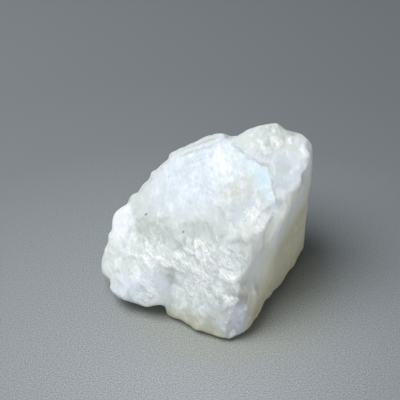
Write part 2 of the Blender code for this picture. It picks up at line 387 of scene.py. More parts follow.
# What the relief tree is told, in millimetres: name, and value.
RELIEF_SIZES = {
    "Flake Length": 2.0,
    "Flake Width": 0.95,
    "Flake Height": 0.045,
    "Splinter Length": 0.85,
    "Splinter Width": 0.45,
    "Splinter Height": 0.03,
    "Step Width": 3.2,
    "Step Height": 0.10,
    "Frost Length": 3.6,
    "Frost Width": 1.5,
    "Frost Grain": 0.45,
    "Frost Height": 0.06,
    "Swell Size": 4.0,
    "Swell Height": 0.38,
}
RELIEF_SEED = 11
# Where the relief shows, as the cosine of the turn away from a direction: where it starts and is full.
FRONT_SPREAD = (0.78, 0.95)
WALL_SPREAD = (0.35, 0.75)
LINES_SPREAD = (0.7, 0.9)
LINES_CORE = 0.6             # share of its radius within which a family of lines is at full height
GROUND_SPREAD = (0.15, 1.1)  # heights over which the relief sets in above the ground
# Where the fracture is crushed to fine white grains: in streaks on the rough areas, in patches elsewhere.
STREAK_SPREAD = (-0.04, 0.12)
STREAK_SHARE = 1.3
PATCH_SIZE = 3.2
PATCH_SPREAD = (0.04, 0.2)
PATCH_SHARE = 0.35
STAIR_SIZE = 5.0             # how far apart the swings of a step's edge lie, and how wide they are in steps
STAIR_SWING = 3.0
WARP_SCALE = 0.35            # the cells of the flakes are warped by noise of this scale
SMOOTH_SHARE = 0.3           # share of the flakes where the break is smooth, and what roughness adds
ROUGH_SHARE = 1.2
FIELD_ROUGHNESS = 0.6
TO_EACH_SIDE = 2.0           # turns a field's -0.5 to 0.5 into -1 to 1, for heights given to each side
HALF = (0.5, 0.5, 0.5)


def relief_tree(material):
    """Geometry nodes that break up a skin.  They keep the height and the frosting for the material."""
    tree = bpy.data.node_groups.new("feldspar_relief", "GeometryNodeTree")
    tree.is_modifier = True
    tree.interface.new_socket("Geometry", in_out="INPUT", socket_type="NodeSocketGeometry")
    for name, size in RELIEF_SIZES.items():
        tree.interface.new_socket(name, in_out="INPUT", socket_type="NodeSocketFloat").default_value = size
    for name, (*_, length, spacing, height) in STRIATIONS.items():
        for part, size in (("Length", length), ("Spacing", spacing), ("Height", height)):
            made = tree.interface.new_socket(f"{name} {part}", in_out="INPUT", socket_type="NodeSocketFloat")
            made.default_value = size
    tree.interface.new_socket("Seed", in_out="INPUT", socket_type="NodeSocketInt")
    tree.interface.new_socket("Geometry", in_out="OUTPUT", socket_type="NodeSocketGeometry")
    given = tree.nodes.new("NodeGroupInput").outputs

    position = add_node(tree, "GeometryNodeInputPosition").outputs[0]
    inputs = {0: position, "Scale": 1.0 / MM}
    place = add_node(tree, "ShaderNodeVectorMath", inputs, operation="SCALE").outputs[0]
    above_ground = add_node(tree, "ShaderNodeSeparateXYZ", {0: place}).outputs["Z"]
    normal = add_node(tree, "GeometryNodeInputNormal").outputs[0]
    rough = add_node(tree, "GeometryNodeInputNamedAttribute", {"Name": "rough"}, data_type="FLOAT").outputs[0]
    inputs = {"Vector": place, "Scale": WARP_SCALE, "Detail": 2.0, "W": given["Seed"]}
    warp = add_node(tree, "ShaderNodeTexNoise", inputs, noise_dimensions="4D").outputs["Color"]
    warp = add_node(tree, "ShaderNodeVectorMath", {0: warp, 1: HALF}, operation="SUBTRACT").outputs[0]

    def sum_of(*groups):
        """Multiplies the values in each group, and adds the groups up."""
        total = 0.0
        for first, *others in groups:
            for other in others:
                inputs = {0: first, 1: other}
                first = add_node(tree, "ShaderNodeMath", inputs, operation="MULTIPLY").outputs[0]
            total = add_node(tree, "ShaderNodeMath", {0: total, 1: first}, operation="ADD").outputs[0]
        return total

    def in_cells(run, outward, long, wide):
        """The place measured in cells that lie along the run."""
        run, outward = Vector(run).normalized(), Vector(outward).normalized()
        axes = {"X": (run, long), "Y": (outward.cross(run), wide), "Z": (outward, wide)}
        parts = {}
        for axis, (direction, size) in axes.items():
            inputs = {0: place, 1: direction}
            along = add_node(tree, "ShaderNodeVectorMath", inputs, operation="DOT_PRODUCT").outputs["Value"]
            inputs = {0: along, 1: size}
            parts[axis] = add_node(tree, "ShaderNodeMath", inputs, operation="DIVIDE").outputs[0]
        return add_node(tree, "ShaderNodeCombineXYZ", parts).outputs[0]

    def broken_flakes(kind, shift):
        """Every cell is a little plane with its own tilt."""
        cells = in_cells(FLAKE_RUN, FRONT_NORMAL, given[f"{kind} Length"], given[f"{kind} Width"])
        cells = add_node(tree, "ShaderNodeVectorMath", {0: cells, 1: warp}, operation="ADD").outputs[0]
        inputs = {"Vector": cells, "Scale": 1.0, "W": sum_of((given["Seed"],), (shift,))}
        cell = add_node(tree, "ShaderNodeTexVoronoi", inputs, voronoi_dimensions="4D").outputs
        inputs = {0: cell["Color"], 1: HALF}
        tilt = add_node(tree, "ShaderNodeVectorMath", inputs, operation="SUBTRACT").outputs[0]
        inputs = {0: cells, 1: cell["Position"]}
        local = add_node(tree, "ShaderNodeVectorMath", inputs, operation="SUBTRACT").outputs[0]
        inputs = {0: local, 1: tilt}
        rise = add_node(tree, "ShaderNodeVectorMath", inputs, operation="DOT_PRODUCT").outputs["Value"]
        return sum_of((rise, given[f"{kind} Height"], TO_EACH_SIDE))

    # Uneven fields: where they are read, the size of their swells, their detail and their shift of the seed.
    streaks_at = in_cells(FLAKE_RUN, FRONT_NORMAL, given["Frost Length"], given["Frost Width"])
    fields = {
        "streaks": (streaks_at, 1.0, 4.0, 5.0),
        "patches": (place, PATCH_SIZE, 4.0, 7.0),
        "stairs": (place, STAIR_SIZE, 2.0, 9.0),
        "grains": (place, given["Frost Grain"], 3.0, 17.0),
        "swell": (place, given["Swell Size"], 2.0, 21.0),
    }
    facings = {"front": (FRONT_NORMAL, FRONT_SPREAD), "wall": (WALL_NORMAL, WALL_SPREAD)}
    for shift, (name, (_, _, outward, run, *_)) in enumerate(STRIATIONS.items()):
        lines_at = in_cells(run, outward, given[f"{name} Length"], given[f"{name} Spacing"])
        fields[name] = (lines_at, 1.0, 2.0, 30.0 + shift)
        facings[name] = (Vector(outward).normalized(), LINES_SPREAD)
    for name, (at, size, detail, shift) in fields.items():
        inputs = {
            "Vector": at,
            "W": sum_of((given["Seed"],), (shift,)),
            "Scale": add_node(tree, "ShaderNodeMath", {0: 1.0, 1: size}, operation="DIVIDE").outputs[0],
            "Detail": detail,
            "Roughness": FIELD_ROUGHNESS,
        }
        field = add_node(tree, "ShaderNodeTexNoise", inputs, noise_dimensions="4D").outputs[0]
        fields[name] = add_node(tree, "ShaderNodeMath", {0: field, 1: 0.5}, operation="SUBTRACT").outputs[0]

    # Shares, from 0 to 1: the value each follows, and where it starts and is full.
    shares = {
        "streaks": (fields["streaks"], STREAK_SPREAD),
        "patches": (fields["patches"], PATCH_SPREAD),
        "off_ground": (above_ground, GROUND_SPREAD),
    }
    for name, (direction, spread) in facings.items():
        inputs = {0: normal, 1: direction}
        turn = add_node(tree, "ShaderNodeVectorMath", inputs, operation="DOT_PRODUCT").outputs["Value"]
        shares[name] = (turn, spread)
    for name, (middle, radius, *_) in STRIATIONS.items():
        inputs = {0: place, 1: middle}
        away = add_node(tree, "ShaderNodeVectorMath", inputs, operation="DISTANCE").outputs["Value"]
        shares[f"near {name}"] = (away, (radius, LINES_CORE * radius))
    for name, (value, (start, full)) in shares.items():
        inputs = {"Value": value, "From Min": start, "From Max": full}
        ranged = add_node(tree, "ShaderNodeMapRange", inputs, interpolation_type="SMOOTHSTEP")
        shares[name] = ranged.outputs[0]
    off_wall = add_node(tree, "ShaderNodeMath", {0: 1.0, 1: shares["wall"]}, operation="SUBTRACT").outputs[0]

    frost = sum_of((shares["streaks"], rough, STREAK_SHARE), (shares["patches"], off_wall, PATCH_SHARE))
    frost = add_node(tree, "ShaderNodeClamp", {"Value": frost}).outputs[0]
    inputs = {0: place, 1: FRONT_NORMAL.cross(FLAKE_RUN)}
    stair = add_node(tree, "ShaderNodeVectorMath", inputs, operation="DOT_PRODUCT").outputs["Value"]
    inputs = {0: stair, 1: given["Step Width"]}
    stair = add_node(tree, "ShaderNodeMath", inputs, operation="DIVIDE").outputs[0]
    stair = sum_of((stair,), (fields["stairs"], STAIR_SWING))
    stair = add_node(tree, "ShaderNodeMath", {0: stair}, operation="FRACT").outputs[0]
    stair = add_node(tree, "ShaderNodeMath", {0: 0.5, 1: stair}, operation="SUBTRACT").outputs[0]
    flakes = sum_of((broken_flakes("Flake", 1.0),), (broken_flakes("Splinter", 2.0),))
    breaking = sum_of((SMOOTH_SHARE,), (rough, ROUGH_SHARE))
    lines = []
    for name in STRIATIONS:
        near = shares[f"near {name}"]
        lines.append((fields[name], given[f"{name} Height"], TO_EACH_SIDE, near, shares[name]))
    height = sum_of(
        (flakes, breaking, off_wall),
        (stair, given["Step Height"], shares["front"]),
        (fields["grains"], given["Frost Height"], frost),
        (fields["swell"], given["Swell Height"], off_wall),
        *lines,
    )
    height = sum_of((height, shares["off_ground"]))

    geometry = given["Geometry"]
    for name, value in (("relief", height), ("frost", frost)):
        inputs = {"Geometry": geometry, "Name": name, "Value": value}
        geometry = add_node(tree, "GeometryNodeStoreNamedAttribute", inputs, domain="POINT").outputs[0]
    inputs = {0: normal, "Scale": sum_of((height, MM))}
    offset = add_node(tree, "ShaderNodeVectorMath", inputs, operation="SCALE").outputs[0]
    geometry = add_node(tree, "GeometryNodeSetPosition", {"Geometry": geometry, "Offset": offset}).outputs[0]
    geometry = add_node(tree, "GeometryNodeSetShadeSmooth", {"Geometry": geometry}).outputs[0]
    geometry = add_node(tree, "GeometryNodeRealizeInstances", {"Geometry": geometry}).outputs[0]
    painted = add_node(tree, "GeometryNodeSetMaterial", {"Geometry": geometry, "Material": material})
    add_node(tree, "NodeGroupOutput", {0: painted.outputs[0]})
    return tree


def break_surface(piece, material):
    """Runs the relief tree on the skin."""
    modifier = piece.modifiers.new("relief", "NODES")
    tree = relief_tree(material)
    modifier.node_group = tree
    for item in tree.interface.items_tree:
        if item.in_out == "INPUT" and item.name == "Seed":
            modifier[item.identifier] = RELIEF_SEED
    plain_mesh(piece)


def linear(hex_colour):
    """An sRGB hex colour as a linear one."""
    parts = [int(hex_colour[i : i + 2], 16) / 255.0 for i in (1, 3, 5)]
    return tuple(p / 12.92 if p <= 0.04045 else ((p + 0.055) / 1.055) ** 2.4 for p in parts) + (1.0,)


# Milky adularia: a colourless feldspar clouded by hair-thin layers of albite, which scatter light inside it
# and give the pearly blue sheen, here painted into the colour.  Broken, not polished: soft shine, with
# glints on the cleavage.
MILK = "#CFD6D5"
# Patches of another shade: middle and half sizes in millimetres, turn about Z in degrees, colour, strength.
PATCHES = {
    # The bluish tint over the lit top is painted sheen.
    "blue_sheen_top": ((-1.0, 7.0, 16.0), (11.0, 9.0, 9.0), 0, "#D8E3EC", 0.95),
    "white_rib": ((3.2, 7.5, 18.0), (2.6, 6.0, 4.0), -12, "#E6EEF2", 0.9),
    "warm_slope": ((4.9, 0.8, 17.2), (3.2, 3.0, 2.6), 0, "#CCD0CC", 0.85),
    "blue_shoulder": ((5.8, -3.2, 17.0), (5.0, 3.0, 3.0), 0, "#C4CED4", 0.85),
    "crag_white": ((6.6, 10.8, 20.0), (3.0, 2.4, 2.6), 0, "#DAE1DD", 0.9),
    "lump_lens": ((12.2, 9.8, 22.4), (4.0, 2.8, 2.4), 0, "#C0C8C1", 0.9),
    "rim_right": ((16.2, 4.2, 22.2), (1.5, 4.6, 2.4), 0, "#E2E7ED", 0.9),
    "green_hollow": ((-1.0, -4.6, 12.6), (7.0, 2.6, 3.0), -10, "#BCC6C3", 0.9),
    "green_left": ((-9.0, -0.4, 9.6), (6.0, 3.0, 3.0), -20, "#B4BCB7", 0.85),
    "white_rim": ((-14.6, 3.0, 8.6), (3.4, 5.4, 3.4), 20, "#ECF0F4", 0.9),
    "ridge_white": ((3.4, -10.8, 9.6), (2.4, 3.4, 5.0), 0, "#E3E8E9", 0.9),
    "blue_lobe": ((-10.8, -8.0, 4.8), (6.0, 4.0, 3.2), 0, "#D3DDE5", 0.85),
    "warm_foot": ((0.0, -12.8, 1.6), (8.0, 3.5, 2.6), 0, "#BFC0B0", 0.8),
}
PATCH_EDGE = (1.15, 0.45)    # where a patch starts and is full, in its own half sizes
# The blue sheen of the stone, painted into the colour.
PAINTED_BLUE_SHEEN = "#D2E5F1"
FACET = "#CFD8DE"
# The white of crushed stone; also the painted highlight on the crags' tops and the tip's painted glints.
FROST_AND_HIGHLIGHT = "#F7FAFB"
# Darker mottling in the milk; also painted shade in the grooves and low places.
MOTTLE_AND_HOLLOW_SHADE = "#BBC3C4"
# Painted shade for the crease along the sheen's right edge.
SEAM_SHADE = "#B4BEC6"
# Darker silk stripes on the top; also painted shade in the gaps between the crags.
SILK_AND_CRAG_GAP_SHADE = "#C3CCDC"
# The right wall's colours, but for its lighter layers, are painted shade and painted warm glow for its shaded
# side lit through the stone; the olive also darkens the gaps between the layers.
WALL_NEAR_RIDGE = "#E3E6E4"
WALL_WARM_GLOW = "#E2E0D0"
WALL_OLIVE_SHADE_AND_GAPS = "#C6C0A2"
WALL_LAYER = "#EBEDE6"
# Painted shade, low on the wall near the ridge.
WALL_PAINTED_SHADE = "#9FA19C"
# Painted shade, darker towards the wall's foot.
WALL_FOOT_SHADE = "#ADA480"
# Painted warm glow of light passing through the stone's lowest edge.
WARM_GLOW_EDGE = "#C6C3A0"
TIP = "#C9CCD4"
# Small grains of another mineral: middle and radius.
SPECKS = {
    "speck_left": ((-9.9, 2.5, 10.7), 0.42),
    "speck_hollow": ((-3.7, -3.2, 12.0), 0.30),
    "speck_low": ((-4.9, -9.0, 6.2), 0.28),
    "speck_top": ((-6.1, 8.6, 14.0), 0.26),
}
SPECK = "#8C8C7C"
SPECK_CORE = 0.4             # share of a speck's radius that is fully dark

# Along the layers of the right wall.
LAYER_RUN = Vector((0.22, 0.36, 0.91))
# What distances count for along the layers, the silk and the flakes, which draws the noise there out; and
# along each axis for the veils.
LAYER_STRETCH = 0.06
SILK_STRETCH = 0.34
FLAKE_STRETCH = 0.30
VEIL_STRETCH = (1.0, 0.45, 0.8)
# Places that wander: how far apart their swings lie, how far they go, and the share of that for finer edges.
WANDER_SIZE = 2.0
WANDER_REACH = 3.0
BENT_SHARE = 0.3
# What the material reads, besides the marks that the mesh keeps: how far the skin faces each way,
FACINGS = {
    "faces_sheen": Vector((-0.36, -0.22, 0.90)).normalized(),
    "faces_wall": WALL_NORMAL,
    "faces_top": TOP_NORMAL,
    "faces_front": FRONT_NORMAL,
}
# how far it is from each middle, measured straight or from a place that wanders,
MIDDLES = {
    "from_sheen": ("place", (11.0, 1.0, 20.2)),
    "from_facet": ("bent", (12.2, 0.8, 20.6)),
    "from_hollow": ("place", (-1.5, -3.8, 12.4)),
    "from_silk": ("bent", (0.6, 6.4, 16.8)),
    "from_crags": ("bent", (11.2, 8.0, 21.9)),
}
# and noise: where it is read, the size of its swells, and its detail.
NOISES = {
    "ragged": ("place", 1.0, 4.0),
    "mottling": ("place", 0.8, 4.0),
    "breaks": ("place", 1.2, 2.0),
    "glints": ("place", 1.4, 2.0),
    "layers": ("along_layers", 0.55, 4.0),
    "veil": ("flattened", 1.5, 5.0),
    "silk": ("along_silk", 0.55, 4.0),
    "cloud": ("place", 0.9, 5.0),
    "cloud_combed": ("along_flakes", 0.72, 5.0),
    "grain": ("place", 0.25, 3.0),
    "grain_combed": ("along_flakes", 0.20, 3.0),
}
NOISE_ROUGHNESS = 0.65
RAGGED_SWING = 3.0           # how far the sheen's left edge and the wall's layers are swung by their noise
LAYER_SWING = 6.0
COMBED = ("faces_front", 0.72, 0.90)     # where clouds and grains are combed along the flakes
# Parts of the stone, each within all of its limits.  A limit is something read, where it starts to count and
# where it counts in full, and its shares there where they aren't 0 and 1; or it is a share already.
PARTS = {
    "on_top": (("faces_sheen", 0.45, 0.75), ("from_sheen", 14.0, 11.5)),
    "facet": (("sheen_right", 0.5, 1.2), ("from_facet", 4.6, 3.4), ("on_top",)),
    "wall": (("ridge", -0.1, 0.5), ("faces_wall", -0.05, 0.65)),
    "tip": (("ridge", -1.0, 0.2), ("bent_height", 7.4, 5.4), ("bent_side", 7.2, 5.6, 0.0, 0.9)),
    "cloudy": (
        ("from_hollow", 6.5, 3.5, 1.0, 0.45),
        ("facet", 0.0, 1.0, 1.0, 0.5),
        ("wall", 0.0, 1.0, 1.0, 0.3),
    ),
    "silky": (("faces_top", 0.80, 0.94), ("from_silk", 8.5, 5.5)),
    "speckled": (("rough",), ("cloudy",)),
    "frosted": (("frost",), ("grain", 0.40, 0.56), ("wall", 0.0, 1.0, 1.0, 0.25)),
    "craggy": (("from_crags", 5.4, 3.6),),
}
# Shades laid over the milk and its patches, from the first to the last, each within its limits.
SHADES = {
    # The blue sheen is painted into the colour: a wedge with a crisp right edge; the facet beyond it is
    # grey-blue.
    "sheen": (
        PAINTED_BLUE_SHEEN,
        ("past_left", -0.5, 1.2),
        ("sheen_right", 0.12, -0.12),
        ("from_front", -5.0, -3.4),
        ("on_top",),
        ("mottling", 0.35, 0.65, 0.5, 1.0),
    ),
    "facet": (FACET, ("facet",)),
    # A thin dark line of painted shade in the crease along the sheen's right edge.
    "seam_shade": (
        SEAM_SHADE,
        ("sheen_right", 0.05, 0.22),
        ("sheen_right", 0.62, 0.30),
        ("on_top",),
        ("breaks", 0.35, 0.55, 0.2, 0.8),
    ),
    # Past the ridge the cloudy layers are seen end on.  The wall's light grey by the ridge, then warm and
    # olive further off, is painted shade, with the warm light that the stone passes into its shaded side
    # painted in too.
    "wall": (WALL_NEAR_RIDGE, ("wall",)),
    "wall_warm_glow": (WALL_WARM_GLOW, ("wall",), ("past_ridge", 5.0, 8.5)),
    "wall_olive_shade": (WALL_OLIVE_SHADE_AND_GAPS, ("wall",), ("above_ground", 3.0, 9.0), ("past_ridge", 6.5, 10.5)),
    # Painted shade on the wall, darker towards its foot.
    "wall_foot": (WALL_FOOT_SHADE, ("wall",), ("above_ground", 9.0, 3.0, 0.0, 0.8)),
    # Painted shade low on the wall, near the ridge.
    "wall_painted_shade": (WALL_PAINTED_SHADE, ("wall",), ("above_ground", 10.0, 6.0), ("past_ridge", 6.5, 4.5)),
    "wall_layers": (
        WALL_LAYER,
        ("wall",),
        ("ridge", 6.0, 2.0, 0.15, 1.0),
        ("above_ground", 6.5, 11.0, 0.15, 1.0),
        ("layers", 0.50, 0.62, 0.0, 0.7),
    ),
    "wall_gaps": (WALL_OLIVE_SHADE_AND_GAPS, ("wall",), ("above_ground", 4.0, 11.0, 0.1, 0.4), ("layers", 0.50, 0.38)),
    # The toe's end is one small glassy facet.
    "tip": (TIP, ("tip",)),
    # Crushed stone is white.  The milk itself is unevenly cloudy.  Darker grooves and low places are painted
    # shade.
    "veils": (FROST_AND_HIGHLIGHT, ("cloudy",), ("veil", 0.52, 0.68, 0.0, 0.50)),
    "between_veils": (MOTTLE_AND_HOLLOW_SHADE, ("cloudy",), ("veil", 0.48, 0.32, 0.0, 0.36)),
    "silk_dark": (SILK_AND_CRAG_GAP_SHADE, ("silky",), ("silk", 0.47, 0.36, 0.0, 0.55)),
    "silk_light": (FROST_AND_HIGHLIGHT, ("silky",), ("silk", 0.54, 0.64, 0.0, 0.45)),
    "clouds": (FROST_AND_HIGHLIGHT, ("cloudy",), ("cloud", 0.52, 0.70, 0.0, 0.38)),
    "between_clouds": (MOTTLE_AND_HOLLOW_SHADE, ("cloudy",), ("cloud", 0.48, 0.30, 0.0, 0.28)),
    # Painted glints on the tip.
    "tip_painted_glints": (FROST_AND_HIGHLIGHT, ("tip",), ("glints", 0.56, 0.66, 0.0, 0.8)),
    "grains_light": (FROST_AND_HIGHLIGHT, ("speckled",), ("grain", 0.52, 0.62, 0.0, 0.7)),
    "grains_dark": (MOTTLE_AND_HOLLOW_SHADE, ("speckled",), ("grain", 0.46, 0.36, 0.0, 0.6)),
    "frost": (FROST_AND_HIGHLIGHT, ("frosted",)),
    "ribs": (FROST_AND_HIGHLIGHT, ("ribs", 0.2, 1.0, 0.0, 0.9), ("grain", 0.38, 0.58, 0.2, 1.0)),
    # Painted shade in the grooves and the low places of the relief.
    "groove_shade": (MOTTLE_AND_HOLLOW_SHADE, ("ribs", -0.15, -0.9, 0.0, 0.60)),
    "low_place_shade": (MOTTLE_AND_HOLLOW_SHADE, ("relief", 0.02, -0.22, 0.0, 0.35)),
    # The crags: painted highlight on their tops and painted shade in their gaps.
    "crag_top_highlights": (FROST_AND_HIGHLIGHT, ("craggy",), ("relief", 0.04, 0.20, 0.0, 0.7)),
    "crag_gap_shade": (SILK_AND_CRAG_GAP_SHADE, ("craggy",), ("relief", -0.02, -0.16, 0.0, 0.5)),
    # A painted warm glow along the lowest edge, for light passing through the stone.
    "warm_glow_edge": (WARM_GLOW_EDGE, ("off_wall",), ("above_ground", 3.0, 1.0, 0.0, 0.45)),
}
# The finish, in the same way.  Crushed stone scatters less light inside, and glints like the glassy tip.
FINISH = {
    "Subsurface Weight": ("frosted", 0.0, 1.0, 1.0, 0.2),
    "Coat Weight": ("shine", 0.1, 0.9, 0.04, 1.0),
    "Roughness": ("grain", 0.35, 0.65, 0.45, 0.70),
}
GLITTER = ("shine", 0.2, 1.0, 0.06, 1.2)
GLITTER_SCALE = 3.0          # glinting faces to the millimetre
FELDSPAR_IOR = 1.52
SCATTER_COLOUR = (1.0, 0.90, 0.74)       # warm light goes further inside
SCATTER_REACH = 1.4 * MM
GLINT_ROUGHNESS = 0.15
# Bumps in the skin: strength and height.
CLOUD_BUMP = (0.28, 0.20 * MM)
GRAIN_BUMP = (0.40, 0.10 * MM)


def adularia():
    """The stone's material."""
    made = bpy.data.materials.new("adularia")
    made.use_nodes = True
    tree = made.node_tree
    shader = tree.nodes["Principled BSDF"]
    shader.inputs["IOR"].default_value = FELDSPAR_IOR
    shader.inputs["Coat Roughness"].default_value = GLINT_ROUGHNESS
    shader.inputs["Coat IOR"].default_value = FELDSPAR_IOR
    shader.inputs["Subsurface Radius"].default_value = SCATTER_COLOUR
    shader.inputs["Subsurface Scale"].default_value = SCATTER_REACH
    place = add_node(tree, "ShaderNodeTexCoord").outputs["Object"]
    inputs = {0: place, "Scale": 1.0 / MM}
    place = add_node(tree, "ShaderNodeVectorMath", inputs, operation="SCALE").outputs[0]
    normal = add_node(tree, "ShaderNodeNewGeometry").outputs["Normal"]

    # Places shifted this way and that, so that no edge is smooth: much for the patches, less for the rest.
    inputs = {"Vector": place, "Scale": 1.0 / WANDER_SIZE, "Detail": 4.0, "Roughness": NOISE_ROUGHNESS}
    wander = add_node(tree, "ShaderNodeTexNoise", inputs).outputs["Color"]
    inputs = {0: wander, 1: 3 * (2.0 * WANDER_REACH,), 2: 3 * (-WANDER_REACH,)}
    wander = add_node(tree, "ShaderNodeVectorMath", inputs, operation="MULTIPLY_ADD").outputs[0]
    spot = add_node(tree, "ShaderNodeVectorMath", {0: place, 1: wander}, operation="ADD").outputs[0]
    inputs = {0: wander, 1: 3 * (BENT_SHARE,), 2: place}
    bent = add_node(tree, "ShaderNodeVectorMath", inputs, operation="MULTIPLY_ADD").outputs[0]
    inputs = {0: place, 1: VEIL_STRETCH}
    flattened = add_node(tree, "ShaderNodeVectorMath", inputs, operation="MULTIPLY").outputs[0]

    def measured(at, *directions):
        """A place as its distances along directions.  Noise there is drawn out along a short direction."""
        parts = {}
        for axis, direction in zip("XYZ", directions):
            inputs = {0: at, 1: direction}
            along = add_node(tree, "ShaderNodeVectorMath", inputs, operation="DOT_PRODUCT")
            parts[axis] = along.outputs["Value"]
        return add_node(tree, "ShaderNodeCombineXYZ", parts).outputs[0]

    across_layers = WALL_NORMAL.cross(LAYER_RUN).normalized()
    across_silk = TOP_NORMAL.cross(TOP_RUN)
    across_flakes = FRONT_NORMAL.cross(FLAKE_RUN)
    places = {
        "place": place,
        "bent": bent,
        "flattened": flattened,
        "along_layers": measured(place, across_layers, LAYER_STRETCH * LAYER_RUN),
        "along_silk": measured(bent, SILK_STRETCH * TOP_RUN, across_silk, TOP_NORMAL),
        "along_flakes": measured(place, FLAKE_STRETCH * FLAKE_RUN, across_flakes, FRONT_NORMAL),
    }
    read = {}
    for name in (*LINES, "ribs", "rough", "relief", "frost"):
        read[name] = add_node(tree, "ShaderNodeAttribute", attribute_name=name).outputs["Fac"]
    for name, direction in FACINGS.items():
        inputs = {0: normal, 1: direction}
        read[name] = add_node(tree, "ShaderNodeVectorMath", inputs, operation="DOT_PRODUCT").outputs["Value"]
    for name, (at, middle) in MIDDLES.items():
        inputs = {0: places[at], 1: middle}
        read[name] = add_node(tree, "ShaderNodeVectorMath", inputs, operation="DISTANCE").outputs["Value"]
    for name, (at, size, detail) in NOISES.items():
        inputs = {"Vector": places[at], "Scale": 1.0 / size, "Detail": detail, "Roughness": NOISE_ROUGHNESS}
        read[name] = add_node(tree, "ShaderNodeTexNoise", inputs).outputs[0]
    for name, at, axis in (
        ("from_front", place, "Y"),
        ("above_ground", place, "Z"),
        ("bent_side", bent, "X"),
        ("bent_height", bent, "Z"),
    ):
        read[name] = add_node(tree, "ShaderNodeSeparateXYZ", {0: at}).outputs[axis]

    def share_within(*limits):
        """How far all of the limits hold, from 0 to 1."""
        share = 1.0
        for name, *spread in limits:
            held = read[name]
            if spread:
                sockets = ("Value", "From Min", "From Max", "To Min", "To Max")
                inputs = dict(zip(sockets, (held, *spread)))
                ranged = add_node(tree, "ShaderNodeMapRange", inputs, interpolation_type="SMOOTHSTEP")
                held = ranged.outputs[0]
            share = add_node(tree, "ShaderNodeMath", {0: share, 1: held}, operation="MULTIPLY").outputs[0]
        return share

    combed = share_within(COMBED)
    for name in ("cloud", "grain"):
        inputs = {0: combed, 2: read[name], 3: read[f"{name}_combed"]}
        read[name] = add_node(tree, "ShaderNodeMix", inputs).outputs[0]
    inputs = {0: read["ragged"], 1: RAGGED_SWING, 2: -0.5 * RAGGED_SWING}
    ragged = add_node(tree, "ShaderNodeMath", inputs, operation="MULTIPLY_ADD").outputs[0]
    inputs = {0: read["sheen_left"], 1: ragged}
    read["past_left"] = add_node(tree, "ShaderNodeMath", inputs, operation="ADD").outputs[0]
    inputs = {0: read["layers"], 1: LAYER_SWING, 2: read["ridge"]}
    read["past_ridge"] = add_node(tree, "ShaderNodeMath", inputs, operation="MULTIPLY_ADD").outputs[0]
    for name, limits in PARTS.items():
        read[name] = share_within(*limits)
    inputs = {0: 1.0, 1: read["wall"]}
    read["off_wall"] = add_node(tree, "ShaderNodeMath", inputs, operation="SUBTRACT").outputs[0]
    inputs = {0: read["frost"], 1: read["tip"]}
    read["shine"] = add_node(tree, "ShaderNodeMath", inputs, operation="MAXIMUM").outputs[0]

    # The colour, from the milk up.
    coats = []
    for name, (middle, half, turn, shade, strength) in PATCHES.items():
        inputs = {"Vector": spot, "Location": middle, "Rotation": (0, 0, math.radians(turn)), "Scale": half}
        local = add_node(tree, "ShaderNodeMapping", inputs, vector_type="TEXTURE").outputs[0]
        read[name] = add_node(tree, "ShaderNodeVectorMath", {0: local}, operation="LENGTH").outputs["Value"]
        coats.append((shade, (name, *PATCH_EDGE, 0.0, strength)))
    coats += SHADES.values()
    for name, (middle, radius) in SPECKS.items():
        inputs = {0: place, 1: middle}
        read[name] = add_node(tree, "ShaderNodeVectorMath", inputs, operation="DISTANCE").outputs["Value"]
        coats.append((SPECK, (name, radius, SPECK_CORE * radius)))
    colour = linear(MILK)
    for shade, *limits in coats:
        inputs = {0: share_within(*limits), 6: colour, 7: linear(shade)}
        colour = add_node(tree, "ShaderNodeMix", inputs, data_type="RGBA").outputs[2]
    tree.links.new(colour, shader.inputs["Base Color"])

    # The finish: a fine uneven skin under a clear one that glints, each little face with its own tilt.
    for name, limit in FINISH.items():
        tree.links.new(share_within(limit), shader.inputs[name])
    strength, distance = CLOUD_BUMP
    inputs = {"Height": read["cloud"], "Strength": strength, "Distance": distance}
    bump = add_node(tree, "ShaderNodeBump", inputs).outputs[0]
    strength, distance = GRAIN_BUMP
    inputs = {"Height": read["grain"], "Strength": strength, "Distance": distance, "Normal": bump}
    bump = add_node(tree, "ShaderNodeBump", inputs).outputs[0]
    tree.links.new(bump, shader.inputs["Normal"])
    cells = add_node(tree, "ShaderNodeTexVoronoi", {"Vector": place, "Scale": GLITTER_SCALE}).outputs["Color"]
    tilt = add_node(tree, "ShaderNodeVectorMath", {0: cells, 1: HALF}, operation="SUBTRACT").outputs[0]
    inputs = {0: tilt, "Scale": share_within(GLITTER)}
    tilt = add_node(tree, "ShaderNodeVectorMath", inputs, operation="SCALE").outputs[0]
    glitter = add_node(tree, "ShaderNodeVectorMath", {0: bump, 1: tilt}, operation="ADD").outputs[0]
    glitter = add_node(tree, "ShaderNodeVectorMath", {0: glitter}, operation="NORMALIZE").outputs[0]
    tree.links.new(glitter, shader.inputs["Coat Normal"])
    return made


solid_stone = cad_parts["moonstone"]
crystal = skin_of(solid_stone)
carve(crystal, solid_stone)
break_surface(crystal, adularia())
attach(crystal, "root")
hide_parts("moonstone")


# ==================================================================================================
# THE FLOOR
# A plain sheet of matt grey card that the stone lies on, pressed from fine fibres that give it a slight
# tooth.  It runs on well past the edges of the picture.
# ==================================================================================================
FLOOR_SIDE = 4.0
# A pool of light painted on the card: the card's colour in the middle of the pool, and far from it.
CARD_POOL_OF_LIGHT = "#90979C"       # the card at its lightest place, and far from it
CARD_BEYOND_POOL = "#747A7E"
CARD_TOOTH = "#D8DCDE"
CARD_POOL_PLACE = (0.0, -30.0 * MM, 0.0)
CARD_POOL_REACH = 90.0 * MM
CARD_FALL = 0.5              # power that makes the card darken fast at first and slower further out
CARD_ROUGHNESS = 0.8
CARD_GLOSS = 0.1
TOOTH_SIZE = 0.2 * MM        # card fibres are finer, and would not show
TOOTH_SPREAD = (0.35, 0.65)
TOOTH_SHARE = 0.50
